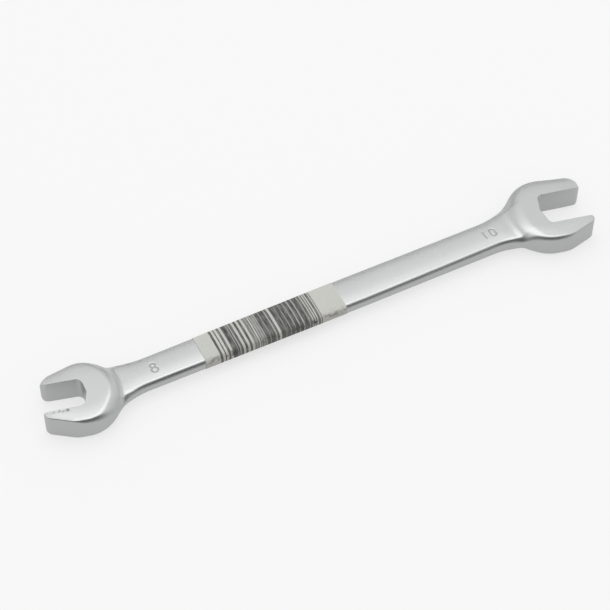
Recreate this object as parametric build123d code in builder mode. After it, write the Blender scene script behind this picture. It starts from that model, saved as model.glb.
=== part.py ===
from build123d import *

# Double open-end wrench, 8 mm at one end and 10 mm at the other, with a paper label round its shank.
# +X runs along the shank towards the large head and +Z is up. Both heads rest on z = 0.
# The origin is the centre of the bottom of the steel body's bounding box. Lengths are in millimetres.

import os
from math import cos, radians, sin, sqrt, tan

# Overall layout
head_spacing = 128.5  # between the centres of the two head circles, along the shank
jaw_angle = 15.0  # each jaw points this far off the shank's line, in degrees
head_thickness = 6.4
shank_thickness = 2.9
edge_radius = 0.8  # rounded edge of the forging, all round
overrun = 2.0  # how far a cutting solid runs past the steel
level_tolerance = 0.001  # a face whose normal leans less than this is upright

# Small head
small_jaw_width = 8.1  # across the flats of an 8 mm nut, with its clearance
small_head_radius = 8.7
small_jaw_reach = 10.0  # from the head circle's centre to the jaw tips
small_slot_back = 0.6  # from the head circle's centre back to the deepest point of the slot
small_slot_rise = 0.9  # how far the slot's back comes forward from its middle to its corners
small_slot_corner = 1.1
small_tip_radius = 2.0
small_arm_tapers = (18.0, 18.0)  # in degrees, the left arm first when looking out of the jaw
small_head_shift = 0.4  # the head circle's centre lies this far to the side of the shank's line
small_neck_radius = 19.0
small_step_margin = 2.0  # the step's arc is this much larger than the head's circle

# Large head
large_jaw_width = 10.1  # across the flats of a 10 mm nut, with its clearance
large_head_radius = 10.8
large_jaw_reach = 9.75
large_slot_back = 2.9
large_slot_rise = 1.1
large_slot_corner = 1.5
large_tip_radius = 3.0
large_arm_tapers = (11.0, 26.0)  # in degrees, likewise
large_head_shift = 0.55
large_neck_radius = 17.0
large_step_margin = 3.2

# Jaw edges
mouth_flare = 0.6  # the jaw faces open out over this length at their tips
mouth_radius = 1.2
slot_edge_chamfer = 0.15

# Shank
shank_width_small_end = 7.7  # at the small head's centre
shank_width_large_end = 10.0  # at the large head's centre

# Step from the thick head down to the thin shank, an arc struck from a point ahead of the head's centre
step_run = 1.7  # length of the slope
step_blend = 1.6  # radius where the slope meets the flat faces
step_arc_centre = 4.0

# Stamped size numerals
stroke_width = 0.42
stamp_depth = 0.12
small_numeral_height = 3.2
large_numeral_height = 2.8
small_numeral_place = 18.1  # from the small head's centre, along the shank
large_numeral_place = 17.6  # from the large head's centre, along the shank
numeral_width_share = 0.62
numeral_waist_share = 0.54
numeral_gap_share = 0.45

# Paper label
label_start = 29.7  # from the small head's centre to the label's first edge
label_length = 37.8
paper_thickness = 0.12
label_clearance = 0.02
seam_width = 4.0  # where the paper overlaps itself under the shank

head_half = head_thickness / 2
shank_half = shank_thickness / 2
small_x = -head_spacing / 2
large_x = head_spacing / 2


def shank_width(x):
    """Width of the shank at a place along it."""
    share = (x - small_x) / head_spacing
    return shank_width_small_end + share * (shank_width_large_end - shank_width_small_end)


def arm_flank(radius, reach, taper, side):
    """Where an arm's outer side leaves the head circle, and where it ends at the jaw tip."""
    lean = radians(taper)
    start = (radius * sin(lean), side * radius * cos(lean))
    return start, (reach, start[1] - side * (reach - start[0]) * tan(lean))


def head_outline(radius, reach, tapers, tip_radius):
    """Outline of one head without its slot, with its jaw along +X and its circle on the origin."""
    left_start, left_tip = arm_flank(radius, reach, tapers[0], 1)
    right_start, right_tip = arm_flank(radius, reach, tapers[1], -1)
    with BuildSketch() as outline:
        Circle(radius)
        Polygon(left_start, left_tip, right_tip, right_start, align=None)
        fillet(outline.vertices().group_by(Axis.X)[-1], tip_radius)
    return outline.sketch


def slot_outline(width, reach, back, rise, corner):
    """The space between the jaws, open along +X, eased at its mouth, with a shallow vee for a back."""
    half = width / 2
    flare_start = reach - mouth_flare
    mouth = reach + overrun
    mouth_half = half + mouth - flare_start
    corner_x = rise - back
    with BuildSketch() as slot:
        with BuildLine():
            FilletPolyline(
                (mouth, mouth_half),
                (flare_start, half),
                (corner_x, half),
                (-back, 0),
                (corner_x, -half),
                (flare_start, -half),
                (mouth, -mouth_half),
                radius=(mouth_radius, corner, corner, corner, mouth_radius),
            )
            Line((mouth, mouth_half), (mouth, -mouth_half))
        make_face()
    return slot.sketch


def neck_points(centre, radius, width):
    """The two places where the shank's sides run into a head circle."""
    inward = 1 if centre[0] < 0 else -1
    points = []
    for side in (1, -1):
        rise = side * width / 2 - centre[1]
        points.append((centre[0] + inward * sqrt(radius**2 - rise**2), side * width / 2))
    return points


def numeral_eight(height):
    """The figure 8: two stamped rings that share one stroke at the waist, the upper one smaller."""
    lower = numeral_waist_share * (height + stroke_width)
    upper = height + stroke_width - lower
    rings = ((lower, (lower - height) / 2), (upper, (height - upper) / 2))
    with BuildSketch() as figure:
        for inset, ring_mode in ((0, Mode.ADD), (stroke_width, Mode.SUBTRACT)):
            for diameter, middle in rings:
                with Locations((0, middle)):
                    Circle(diameter / 2 - inset, mode=ring_mode)
    return figure.sketch


def numeral_ten(height):
    """The figures 1 and 0 side by side, in one stamped stroke width."""
    width = height * numeral_width_share
    gap = height * numeral_gap_share
    total = stroke_width + gap + width
    with BuildSketch() as figure:
        with Locations(((stroke_width - total) / 2, 0)):
            Rectangle(stroke_width, height)
        with Locations(((total - width) / 2, 0)):
            for inset, ring_mode in ((0, Mode.ADD), (stroke_width, Mode.SUBTRACT)):
                SlotOverall(height - 2 * inset, width - 2 * inset, rotation=90, mode=ring_mode)
    return figure.sketch


# Outline of the steel body in plan, about the shank's own middle line
small_centre = (small_x, -small_head_shift)
large_centre = (large_x, -large_head_shift)
small_place = Location((*small_centre, 0), (0, 0, 180 - jaw_angle))
large_place = Location((*large_centre, 0), (0, 0, -jaw_angle))
with BuildSketch() as plan:
    Polygon(
        (small_x, shank_width_small_end / 2),
        (large_x, shank_width_large_end / 2),
        (large_x, -shank_width_large_end / 2),
        (small_x, -shank_width_small_end / 2),
        align=None,
    )
    with Locations(small_place):
        add(head_outline(small_head_radius, small_jaw_reach, small_arm_tapers, small_tip_radius))
    with Locations(large_place):
        add(head_outline(large_head_radius, large_jaw_reach, large_arm_tapers, large_tip_radius))
    for neck in neck_points(small_centre, small_head_radius, shank_width_small_end):
        fillet(plan.vertices().sort_by_distance(neck)[0], small_neck_radius)
    for neck in neck_points(large_centre, large_head_radius, shank_width_large_end):
        fillet(plan.vertices().sort_by_distance(neck)[0], large_neck_radius)

# The body lies on z = 0, with the middle of its plan over the origin
plan_box = plan.sketch.bounding_box()
plan_middle = plan_box.center()
middle_plane = Plane(origin=(-plan_middle.X, -plan_middle.Y, head_half))
shank_top_plane = middle_plane.offset(shank_half)

# Thickness of the body: full height at the heads, sloping down to the thinner shank
with BuildPart() as thickness_form:
    with BuildSketch(middle_plane):
        with Locations(plan_middle):
            Rectangle(plan_box.size.X, plan_box.size.Y)
    extrude(amount=shank_half, both=True)
    steps = (
        (small_place, small_head_radius + small_step_margin),
        (large_place, large_head_radius + large_step_margin),
    )
    for place, step_radius in steps:
        step_middle = (middle_plane.location * place * Location((step_arc_centre, 0, 0))).position
        foot_radius = step_radius + step_run
        rim_radius = foot_radius + step_blend
        with BuildSketch(Plane(origin=step_middle, x_dir=(1, 0, 0), z_dir=(0, -1, 0))):
            with BuildLine():
                FilletPolyline(
                    (0, head_half),
                    (step_radius, head_half),
                    (foot_radius, shank_half),
                    (rim_radius, shank_half),
                    radius=step_blend,
                )
                mirror(about=Plane.XZ)
                Line((rim_radius, shank_half), (rim_radius, -shank_half))
                Line((0, head_half), (0, -head_half))
            make_face()
        revolve(axis=Axis(step_middle, (0, 0, 1)))

# Steel body: both heads and the shank are one forging
with BuildPart() as wrench_body:
    with BuildSketch(middle_plane):
        add(plan.sketch)
    extrude(amount=head_half, both=True)
    add(thickness_form.part, mode=Mode.INTERSECT)
    walls = wrench_body.faces().filter_by(lambda face: abs(face.normal_at().Z) < level_tolerance)
    fillet(walls.edges().filter_by(Axis.Z, reverse=True), edge_radius)

    # Jaws
    small_slot = (small_jaw_width, small_jaw_reach, small_slot_back, small_slot_rise, small_slot_corner)
    large_slot = (large_jaw_width, large_jaw_reach, large_slot_back, large_slot_rise, large_slot_corner)
    with BuildSketch(middle_plane):
        for place, slot_sizes in ((small_place, small_slot), (large_place, large_slot)):
            with Locations(place):
                add(slot_outline(*slot_sizes))
    extrude(amount=head_half + overrun, both=True, mode=Mode.SUBTRACT)
    slot_edges = wrench_body.edges(Select.LAST).group_by(Axis.Z)
    chamfer(slot_edges[0] + slot_edges[-1], slot_edge_chamfer)

    # Size numerals, stamped into the top of the shank beside each head
    with BuildSketch(shank_top_plane):
        with Locations((small_x + small_numeral_place, 0)):
            add(numeral_eight(small_numeral_height))
        with Locations((large_x - large_numeral_place, 0)):
            add(numeral_ten(large_numeral_height))
    extrude(amount=-stamp_depth, mode=Mode.SUBTRACT)
wrench_body.part.label = "wrench_body"

# Paper label: a sleeve close round the shank, with its overlap stuck down underneath
with BuildPart() as label_wrap:
    label_ends = (small_x + label_start, small_x + label_start + label_length)
    for skin, skin_mode in ((label_clearance + paper_thickness, Mode.ADD), (label_clearance, Mode.SUBTRACT)):
        for x in label_ends:
            end_point = middle_plane.from_local_coords((x, 0, 0))
            with BuildSketch(Plane(origin=end_point, x_dir=(0, 1, 0), z_dir=(1, 0, 0))):
                RectangleRounded(shank_width(x) + 2 * skin, shank_thickness + 2 * skin, edge_radius + skin)
        loft(mode=skin_mode)
    with BuildSketch(middle_plane.offset(-shank_half - label_clearance - paper_thickness)):
        with Locations((sum(label_ends) / 2, 0)):
            Rectangle(label_length, seam_width)
    extrude(amount=-paper_thickness)
label_wrap.part.label = "label_wrap"

os.makedirs("parts", exist_ok=True)
export_step(wrench_body.part, "parts/wrench_body.step")
export_step(label_wrap.part, "parts/label_wrap.step")
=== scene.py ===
import random
from math import acos, atan2, cos, pi, radians, sin, tan

import bpy
import numpy as np
from mathutils import Matrix, Vector, noise
from mathutils.geometry import delaunay_2d_cdt


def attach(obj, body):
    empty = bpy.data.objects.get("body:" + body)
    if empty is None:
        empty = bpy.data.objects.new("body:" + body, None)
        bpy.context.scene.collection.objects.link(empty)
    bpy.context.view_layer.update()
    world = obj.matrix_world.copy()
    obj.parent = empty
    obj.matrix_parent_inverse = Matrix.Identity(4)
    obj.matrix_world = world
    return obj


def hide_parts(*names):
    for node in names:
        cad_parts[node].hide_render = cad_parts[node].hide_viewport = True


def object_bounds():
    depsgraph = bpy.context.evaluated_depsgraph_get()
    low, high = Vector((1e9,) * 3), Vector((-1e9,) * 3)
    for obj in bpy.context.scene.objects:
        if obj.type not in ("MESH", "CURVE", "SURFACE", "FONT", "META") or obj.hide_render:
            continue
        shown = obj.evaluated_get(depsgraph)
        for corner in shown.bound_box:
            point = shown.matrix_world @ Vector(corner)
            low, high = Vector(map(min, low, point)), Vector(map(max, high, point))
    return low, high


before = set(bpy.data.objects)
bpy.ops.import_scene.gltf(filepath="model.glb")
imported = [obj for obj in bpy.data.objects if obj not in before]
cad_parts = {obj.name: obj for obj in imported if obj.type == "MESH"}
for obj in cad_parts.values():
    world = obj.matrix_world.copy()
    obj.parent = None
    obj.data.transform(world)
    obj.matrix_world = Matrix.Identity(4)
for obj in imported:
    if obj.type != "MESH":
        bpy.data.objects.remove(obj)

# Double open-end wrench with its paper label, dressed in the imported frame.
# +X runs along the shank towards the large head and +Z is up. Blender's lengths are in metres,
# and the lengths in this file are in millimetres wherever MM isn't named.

bl_info = {
    "name": "Open-end wrench",
    "version": (1, 0, 0),
    "blender": (4, 5, 0),
    "location": "View3D > Sidebar > Wrench",
    "description": "Builds a double open-end wrench, its paper label and a studio round its packed frame",
    "category": "Add Mesh",
}

MM = 0.001
CAD_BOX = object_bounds()
# The heads are as thick as the frame is high, and the body's middle plane lies halfway up them
HEAD_HALF = CAD_BOX[1][2] / MM / 2
MIDDLE_Z = HEAD_HALF


# Settings


def length(name, description, default):
    """A setting that is a length, its default given in millimetres."""
    return bpy.props.FloatProperty(
        name=name, description=description, default=default * MM, unit="LENGTH", precision=5
    )


def angle(name, description, default):
    """A setting that is an angle, its default given in degrees."""
    return bpy.props.FloatProperty(
        name=name, description=description, default=radians(default), subtype="ANGLE"
    )


def share(name, description, default):
    """A setting from nought to one."""
    return bpy.props.FloatProperty(name=name, description=description, default=default, min=0, max=1)


def colour(name, description, default):
    """A setting that is a colour, its default given in hex."""
    return bpy.props.FloatVectorProperty(
        name=name, description=description, default=linear(default), subtype="COLOR", min=0, max=1
    )


def linear(hex_colour):
    """Turn an sRGB hex colour into the linear red, green and blue that Blender works in."""
    channels = [int(hex_colour[place : place + 2], 16) / 255 for place in (1, 3, 5)]
    return [c / 12.92 if c <= 0.04045 else ((c + 0.055) / 1.055) ** 2.4 for c in channels]


# Each setting of a head: its kind, name, description, and default for the small head and for the large one.
# Left and right are meant looking out of the jaw.
HEAD_SETTINGS = (
    ("jaw_width", length, "Jaw width", "Across the flats of the nut, with its clearance", 8.1, 10.1),
    ("radius", length, "Head radius", "Radius of the head's round back", 9.15, 10.67),
    ("left_reach", length, "Left reach", "From the head's centre to the left arm's tip", 9.8, 10.72),
    ("right_reach", length, "Right reach", "From the head's centre to the right arm's tip", 9.85, 10.5),
    ("jaw_angle", angle, "Jaw angle", "The jaw points this far off the shank's line", 15.0, 12.5),
    ("jaw_shift", length, "Jaw shift", "How far left of the head's centre the jaw lies", 0.33, -0.05),
    ("slot_back", length, "Slot back", "From the head's centre back to the slot's deepest point", 0.76, 2.08),
    ("slot_rise", length, "Slot rise", "How far the slot's back comes forward towards its corners", 0.9, 1.1),
    ("slot_corner", length, "Slot corner", "Radius of the slot's corners", 1.7, 1.5),
    ("left_tip", length, "Left tip", "Radius of the left arm's outer corner", 2.2, 3.2),
    ("right_tip", length, "Right tip", "Radius of the right arm's outer corner", 4.3, 2.25),
    ("left_mouth", length, "Left mouth", "Radius of the left arm's inner corner at the mouth", 0.9, 1.2),
    ("right_mouth", length, "Right mouth", "Radius of the right arm's inner corner at the mouth", 2.2, 1.2),
    ("left_taper", angle, "Left taper", "Slant of the left arm", 22.0, 6.0),
    ("right_taper", angle, "Right taper", "Slant of the right arm", 20.7, 24.8),
    ("shift", length, "Head shift", "How far the head's centre lies off the shank's line", 0.1, 0.43),
    ("near_neck", length, "Near neck", "Radius where the shank's near side runs into the head", 14.9, 15.5),
    ("far_neck", length, "Far neck", "Radius where the shank's far side runs into the head", 23.7, 19.3),
    ("step_margin", length, "Step margin", "How much wider the step's arc is than the head", 1.98, 7.3),
    ("step_arc_centre", length, "Step arc centre", "How far ahead the step's arc is struck", 4.0, 10.0),
    ("step_run", length, "Step run", "Length of the slope from the head down to the shank", 1.7, 2.4),
    ("rim_blend", length, "Rim blend", "Radius where the head's face turns down into the slope", 3.8, 5.6),
    ("foot_blend", length, "Foot blend", "Radius where the slope runs out into the shank", 1.9, 3.0),
    ("left_edge", length, "Left edge", "Radius of the left arm's rounded edges", 0.3, 0.8),
    ("right_edge", length, "Right edge", "Radius of the right arm's rounded edges", 1.0, 0.5),
)


def head_settings(column):
    """The settings of one head, with the defaults from one column of the table."""
    return {
        setting: kind(name, words, defaults[column])
        for setting, kind, name, words, *defaults in HEAD_SETTINGS
    }


class WrenchSmallHeadSettings(bpy.types.PropertyGroup):
    """Sizes of the small head, which has an 8 mm jaw."""

    __annotations__ = head_settings(0)


class WrenchLargeHeadSettings(bpy.types.PropertyGroup):
    """Sizes of the large head, which has a 10 mm jaw."""

    __annotations__ = head_settings(1)


class WrenchSteelSettings(bpy.types.PropertyGroup):
    """Sizes and finish of the steel body."""

    head_spacing: length("Head spacing", "Between the centres of the two heads, along the shank", 127.78)
    middle_x: length("Middle X", "Where the middle of the shank lies in the frame", -0.6195)
    middle_y: length("Middle Y", "Where the shank's line lies in the frame", 0.55)
    shank_thickness: length("Shank thickness", "Thickness at the middle of the shank", 2.9)
    small_end_width: length("Small end width", "Width of the shank at the small head's centre", 8.3)
    middle_width: length("Middle width", "Width of the shank where it is widest", 9.4)
    large_end_width: length("Large end width", "Width of the shank at the large head's centre", 8.6)
    swell: length("Swell", "How far each face rises from the shank's middle to the large head's step", 0.42)
    swell_start: length("Swell start", "Where the shank is widest and begins to thicken, in the frame", 8.0)
    swell_end: length("Swell end", "Where the shank is done thickening, in the frame", 50.0)
    near_edge: length("Near edge", "Radius of the rounded edges along the near side", 1.15)
    far_edge: length("Far edge", "Radius of the rounded edges along the far side", 0.65)
    under_edge: length("Under edge", "Radius of the rounded edges along the shank's underside", 0.6)
    slot_edge: length("Slot edge", "Radius of the worn edges of the jaws", 0.06)
    crown: length("Crown", "How far the polished faces fall away towards their edges", 0.24)
    crown_reach: length("Crown reach", "How far in from the edges the faces begin to fall away", 4.4)
    far_fall: length("Far fall", "How much more the faces fall away towards their far edges", 0.22)
    far_reach: length("Far reach", "How far in from the far edges they begin to", 2.4)
    stroke: length("Numeral stroke", "Width of the stamped strokes", 0.42)
    stamp_depth: length("Stamp depth", "Depth of the stamped numerals", 0.08)
    chromium: colour("Chromium", "What the plating reflects when seen face on", "#c6c7c7")
    # Darker than the chromium, as painted shade on the walls
    shaded_wall_plating: colour("Wall plating", "The same for the thinner plating on the walls", "#bbbcbc")
    # The dull tone also paints the shade down in the stamped strokes
    dull_and_shaded_tone: colour("Dull tone", "The same where the plating is broken, in the dents", "#6c6d6d")
    face_roughness: share("Face roughness", "Roughness of the polished faces", 0.27)
    wall_roughness: share("Wall roughness", "Roughness of the walls between the faces", 0.44)


class WrenchLabelSettings(bpy.types.PropertyGroup):
    """Sizes and colours of the paper label."""

    start: length("Start", "The label's left end in the frame", -34.73)
    length: length("Length", "Length of the label along the shank", 37.8)
    thickness: length("Paper thickness", "Thickness of the label stock", 0.1)
    overlap: length("Overlap", "How far the paper laps over itself under the shank", 4.0)
    skew: share("Skew", "How far the wrap runs off square, per unit of its height", 0.05)
    first_bar: length("First bar", "From the label's end to its first bar", 3.9)
    last_bar: length("Last bar", "From the last bar to the label's other end", 6.7)
    bar_unit: length("Bar unit", "Width of the narrowest bar", 0.3)
    paper: colour("Paper", "Colour of the label stock", "#c6c7c1")
    ink: colour("Ink", "Colour of the printed bars", "#2f302d")
    # This colour is also the painted shade on the label's near side
    smear_and_shade_tone: colour("Grime", "Colour of smeared ink and dirt in the folds of the paper", "#6f6864")


class WrenchStageSettings(bpy.types.PropertyGroup):
    """Camera and floor."""

    camera_turn: angle("Camera turn", "How far the camera stands round from square to the shank", 28.179)
    camera_elevation: angle("Camera elevation", "How steeply the camera looks down", 48.024)
    camera_roll: angle("Camera roll", "Lean of the picture", 0.138)
    camera_distance: length("Camera distance", "From the aim to the camera", 438.87)
    camera_aim: bpy.props.FloatVectorProperty(
        name="Camera aim",
        description="The point in the middle of the picture",
        subtype="XYZ",
        unit="LENGTH",
        default=(-5.182 * MM, 2.512 * MM, 2.991 * MM),
    )
    lens: bpy.props.FloatProperty(
        name="Lens", description="Focal length in millimetres, on a 36 mm sensor", default=106.23
    )
    floor_size: length("Floor size", "Side of the square floor", 6000)
    floor_colour: colour("Floor", "Colour of the painted floor", "#f6f6f6")


# Shared helpers


def add_node(tree, kind, inputs=None, **settings):
    """Add one node, give it its settings, and set or link each input that is named."""
    node = tree.nodes.new(kind)
    for name, value in settings.items():
        setattr(node, name, value)
    for socket, value in (inputs or {}).items():
        if isinstance(value, bpy.types.NodeSocket):
            tree.links.new(value, node.inputs[socket])
        else:
            node.inputs[socket].default_value = value
    return node


def new_material(name):
    """An empty node material."""
    material = bpy.data.materials.new(name)
    material.use_nodes = True
    material.node_tree.nodes.clear()
    return material


def new_object(name, points, faces, material):
    """Make an object in the scene from points in millimetres."""
    mesh = bpy.data.meshes.new(name)
    mesh.from_pydata((np.asarray(points) * MM).tolist(), [], faces)
    mesh.materials.append(material)
    thing = bpy.data.objects.new(name, mesh)
    bpy.context.collection.objects.link(thing)
    return thing


def in_mm(settings, *names):
    """Settings that are lengths, turned to millimetres."""
    values = [getattr(settings, name) / MM for name in names]
    return values if len(values) > 1 else values[0]


# Plan geometry, in the part's frame

# Spacing of the points along straight runs, arcs, the arms' flanks and tips, and rounded corners
RUN_SPACING = 0.6
ARC_SPACING = 0.3
FLANK_SPACING = 0.3
TIP_SPACING = 0.2
CORNER_SPACING = 0.15
# Added to the distances that soft_distance sums up, so that the outline's own points don't stand out in it
SOFTENING = 0.9
# The mouth opens out over this share of its corner's radius, and is cut this far past the arms' tips
MOUTH_FLARE_SHARE = 0.5
OVERRUN = 2.0


def arc(centre, radius, start, end, spacing=ARC_SPACING):
    """Points along an arc between two angles, its last point left out."""
    count = max(2, round(abs(end - start) * radius / spacing))
    angles = start + (end - start) * np.arange(count) / count
    return np.asarray(centre) + radius * np.column_stack((np.cos(angles), np.sin(angles)))


def run(start, end, spacing=RUN_SPACING):
    """Points along a straight line, its last point left out."""
    start, end = np.asarray(start, float), np.asarray(end, float)
    count = max(1, round(np.linalg.norm(end - start) / spacing))
    return start + (end - start) * (np.arange(count) / count)[:, None]


def rounded(corners, radii, spacing=CORNER_SPACING):
    """An open line of straight runs whose inner corners are rounded."""
    corners = [np.asarray(corner, float) for corner in corners]
    pieces, place = [], corners[0]
    for before, corner, after, radius in zip(corners, corners[1:], corners[2:], radii):
        back, ahead = before - corner, after - corner
        back, ahead = back / np.linalg.norm(back), ahead / np.linalg.norm(ahead)
        half = acos(float(back @ ahead)) / 2
        middle = (back + ahead) / np.linalg.norm(back + ahead)
        centre = corner + middle * radius / sin(half)
        first, last = corner + back * radius / tan(half), corner + ahead * radius / tan(half)
        start, end = (atan2(*(point - centre)[::-1]) for point in (first, last))
        end = start + (end - start + pi) % (2 * pi) - pi
        pieces += [run(place, first, spacing * 2), arc(centre, radius, start, end, spacing)]
        place = last
    return np.vstack(pieces + [run(place, corners[-1], spacing * 2), [corners[-1]]])


def tangents(line, closed=True):
    """Unit direction of a line at each of its points."""
    if closed:
        steps = np.roll(line, -1, axis=0) - np.roll(line, 1, axis=0)
    else:
        steps = np.gradient(line, axis=0)
    return steps / np.linalg.norm(steps, axis=1)[:, None]


def left_of(ways):
    """Directions a quarter turn to the left of others."""
    return np.column_stack((-ways[:, 1], ways[:, 0]))


def nearest(points, line, closed=True):
    """How far each point is from a line, and the line's smoothed direction at its nearest place."""
    ways = tangents(line, closed)
    ends = np.roll(line, -1, axis=0) if closed else line[1:]
    best = np.full(len(points), np.inf)
    along = np.zeros((len(points), 2))
    for start, end, first, last in zip(line, ends, ways, np.roll(ways, -1, axis=0)):
        step = end - start
        part = np.clip((points - start) @ step / (step @ step), 0, 1)[:, None]
        offset = points - start - part * step
        gap = np.einsum("ij,ij->i", offset, offset)
        closer = gap < best
        best[closer] = gap[closer]
        along[closer] = (first + part * (last - first))[closer]
    return np.sqrt(best), along / np.linalg.norm(along, axis=1)[:, None]


def distance_to(points, line, closed=True):
    """How far each point is from the nearest run of a line."""
    return nearest(points, line, closed)[0]


def soft_distance(points, line):
    """Distance in from a closed line, with no ridge midway between its sides, and the way it grows.

    Along a straight side the sum comes to pi / 2 over the distance cubed.
    """
    steps = np.roll(line, -1, axis=0) - line
    total, pull = np.zeros(len(points)), np.zeros((len(points), 2))
    for middle, step in zip(line + steps / 2, np.linalg.norm(steps, axis=1)):
        offset = points - middle
        square = np.einsum("ij,ij->i", offset, offset) + SOFTENING**2
        total += step / square**2
        pull -= (4 * step / square**3)[:, None] * offset
    distance = (pi / 2 / total) ** (1 / 3)
    return distance, (-distance / 3 / total)[:, None] * pull


def inside(points, line):
    """Which points lie inside a closed line."""
    odd = np.zeros(len(points), bool)
    x, y = points.T
    for (x1, y1), (x2, y2) in zip(line, np.roll(line, -1, axis=0)):
        if y1 != y2:
            odd ^= ((y1 > y) != (y2 > y)) & (x < (x2 - x1) * (y - y1) / (y2 - y1) + x1)
    return odd


def angle_of(vector):
    """Direction in which a vector points, in radians from +X."""
    return atan2(vector[1], vector[0])


class Head:
    """One head in plan: where it lies, how its jaw points and how the shank runs into it.

    Its own frame has its centre for origin and its jaw along +X. The left arm, looking out of the jaw,
    is arm 1 and the right one is arm -1. The small head lies on side -1 of the shank, the large on side 1.
    """

    def __init__(self, settings, steel, side):
        for name in (
            "jaw_width", "jaw_shift", "radius", "slot_back", "slot_rise", "slot_corner", "near_neck",
            "far_neck", "left_edge", "right_edge", "step_run", "rim_blend", "foot_blend",
        ):
            setattr(self, name, in_mm(settings, name))
        spacing, middle_x, middle_y = in_mm(steel, "head_spacing", "middle_x", "middle_y")
        self.side = side
        self.centre = np.array((middle_x + side * spacing / 2, middle_y - in_mm(settings, "shift")))
        self.jaw = -settings.jaw_angle if side > 0 else pi - settings.jaw_angle
        self.arms = {
            1: (settings.left_taper, *in_mm(settings, "left_tip", "left_reach")),
            -1: (settings.right_taper, *in_mm(settings, "right_tip", "right_reach")),
        }
        self.reach = max(in_mm(settings, "left_reach", "right_reach"))
        self.mouths = in_mm(settings, "left_mouth", "right_mouth")
        self.step_centre = self.from_head(((in_mm(settings, "step_arc_centre"), 0),))[0]
        self.step_radius = self.radius + in_mm(settings, "step_margin")

    def to_head(self, points):
        """Turn points from the part's frame to the head's own."""
        turn = np.array(((cos(self.jaw), -sin(self.jaw)), (sin(self.jaw), cos(self.jaw))))
        return (np.asarray(points) - self.centre) @ turn

    def from_head(self, points):
        """Turn points from the head's own frame to the part's."""
        turn = np.array(((cos(self.jaw), sin(self.jaw)), (-sin(self.jaw), cos(self.jaw))))
        return np.asarray(points) @ turn + self.centre

    def neck(self, end, along):
        """Centre, radius and foot of the neck's arc beside a shank side that runs away from the head."""
        side = 1 if end[1] > self.centre[1] else -1
        radius = self.far_neck if side > 0 else self.near_neck
        outward = np.array((-along[1], along[0])) * np.sign(along[0]) * side
        start = end + outward * radius - self.centre
        middle = start @ along
        reach = -middle + (middle**2 - start @ start + (self.radius + radius) ** 2) ** 0.5
        foot = end + along * reach
        return foot + outward * radius, radius, foot

    def outline(self, first_neck, last_neck):
        """The head's outline, anticlockwise from one neck's arc to the other's."""
        start, end = angle_of(first_neck - self.centre), angle_of(last_neck - self.centre)
        flanks, tips = {}, {}
        for arm, (taper, tip_radius, reach) in self.arms.items():
            flanks[arm] = self.jaw + arm * (pi / 2 - taper)
            tip_x = reach - tip_radius
            tip_y = arm * (self.radius - tip_radius - tip_x * sin(taper)) / cos(taper)
            tips[arm] = self.from_head(((tip_x, tip_y),))[0]
        left, right = self.arms[1][1], self.arms[-1][1]
        while start > flanks[-1]:
            start -= 2 * pi
        while end < flanks[1]:
            end += 2 * pi

        def at(centre, radius, turn):
            return centre + radius * np.array((cos(turn), sin(turn)))

        return [
            arc(self.centre, self.radius, start, flanks[-1]),
            run(at(self.centre, self.radius, flanks[-1]), at(tips[-1], right, flanks[-1]), FLANK_SPACING),
            arc(tips[-1], right, flanks[-1], self.jaw, TIP_SPACING),
            run(at(tips[-1], right, self.jaw), at(tips[1], left, self.jaw), FLANK_SPACING),
            arc(tips[1], left, self.jaw, flanks[1], TIP_SPACING),
            run(at(tips[1], left, flanks[1]), at(self.centre, self.radius, flanks[1]), FLANK_SPACING),
            arc(self.centre, self.radius, flanks[1], end),
        ]

    def slot(self):
        """The space between the jaws, with a shallow vee for a back, opening out at its rounded mouth."""
        half, corner_x = self.jaw_width / 2, self.slot_rise - self.slot_back
        left, right = self.mouths
        left_flare, right_flare = left * MOUTH_FLARE_SHARE, right * MOUTH_FLARE_SHARE
        corners = (
            (self.reach + OVERRUN, half + OVERRUN + left_flare),
            (self.reach - left_flare, half),
            (corner_x, half),
            (-self.slot_back, 0),
            (corner_x, -half),
            (self.reach - right_flare, -half),
            (self.reach + OVERRUN, -half - OVERRUN - right_flare),
        )
        radii = (left, self.slot_corner, self.slot_corner, self.slot_corner, right)
        return self.from_head(rounded(corners, radii) + (0, self.jaw_shift))


def shank_widths(steel):
    """Three places along the shank, and its width at each."""
    spacing, middle_x, widest = in_mm(steel, "head_spacing", "middle_x", "swell_start")
    widths = in_mm(steel, "small_end_width", "middle_width", "large_end_width")
    return np.array((middle_x - spacing / 2, widest, middle_x + spacing / 2)), np.array(widths)


def plan_outline(heads, steel):
    """Outline of the steel body without its slots, anticlockwise from the near side of the shank."""
    middle_y = in_mm(steel, "middle_y")
    places, widths = shank_widths(steel)
    necks, middles = {}, {}
    for side in (-1, 1):
        first, middles[side], last = np.column_stack((places, middle_y + side * widths / 2))
        for head, end in zip(heads, (first, last)):
            along = (middles[side] - end) / np.linalg.norm(middles[side] - end)
            necks[side, head.side] = head.neck(end, along)

    def bend(neck, start, end):
        centre, radius, _ = neck
        first, last = angle_of(start - centre), angle_of(end - centre)
        return arc(centre, radius, first, first + (last - first + pi) % (2 * pi) - pi)

    pieces = []
    for side, head in ((-1, heads[1]), (1, heads[0])):
        before, into, out = necks[side, -head.side], necks[side, head.side], necks[-side, head.side]
        pieces += [run(before[2], middles[side]), run(middles[side], into[2])]
        pieces += [bend(into, into[2], head.centre), *head.outline(into[0], out[0])]
        pieces.append(bend(out, head.centre, out[2]))
    return np.vstack(pieces)


# Relief of the faces, as heights over the plan

# Spacing of the points along each step's profile
PROFILE_SPACING = 0.02
# The swell of the shank grows with this power of the way along it
SWELL_POWER = 1.5
# The faces fall this far beside the shank's straight sides, over this reach, and their rounded edges are
# smaller there by up to this share
NECK_FALL = 0.8
NECK_REACH = 1.2
NECK_SHARPER_SHARE = 0.7
# The rounded edges change from the near radius to the far one over this width, and to each arm's own radius
# over this share of its reach
SIDE_CHANGE = 4.0
ARM_CHANGE_SHARE = 0.4
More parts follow.
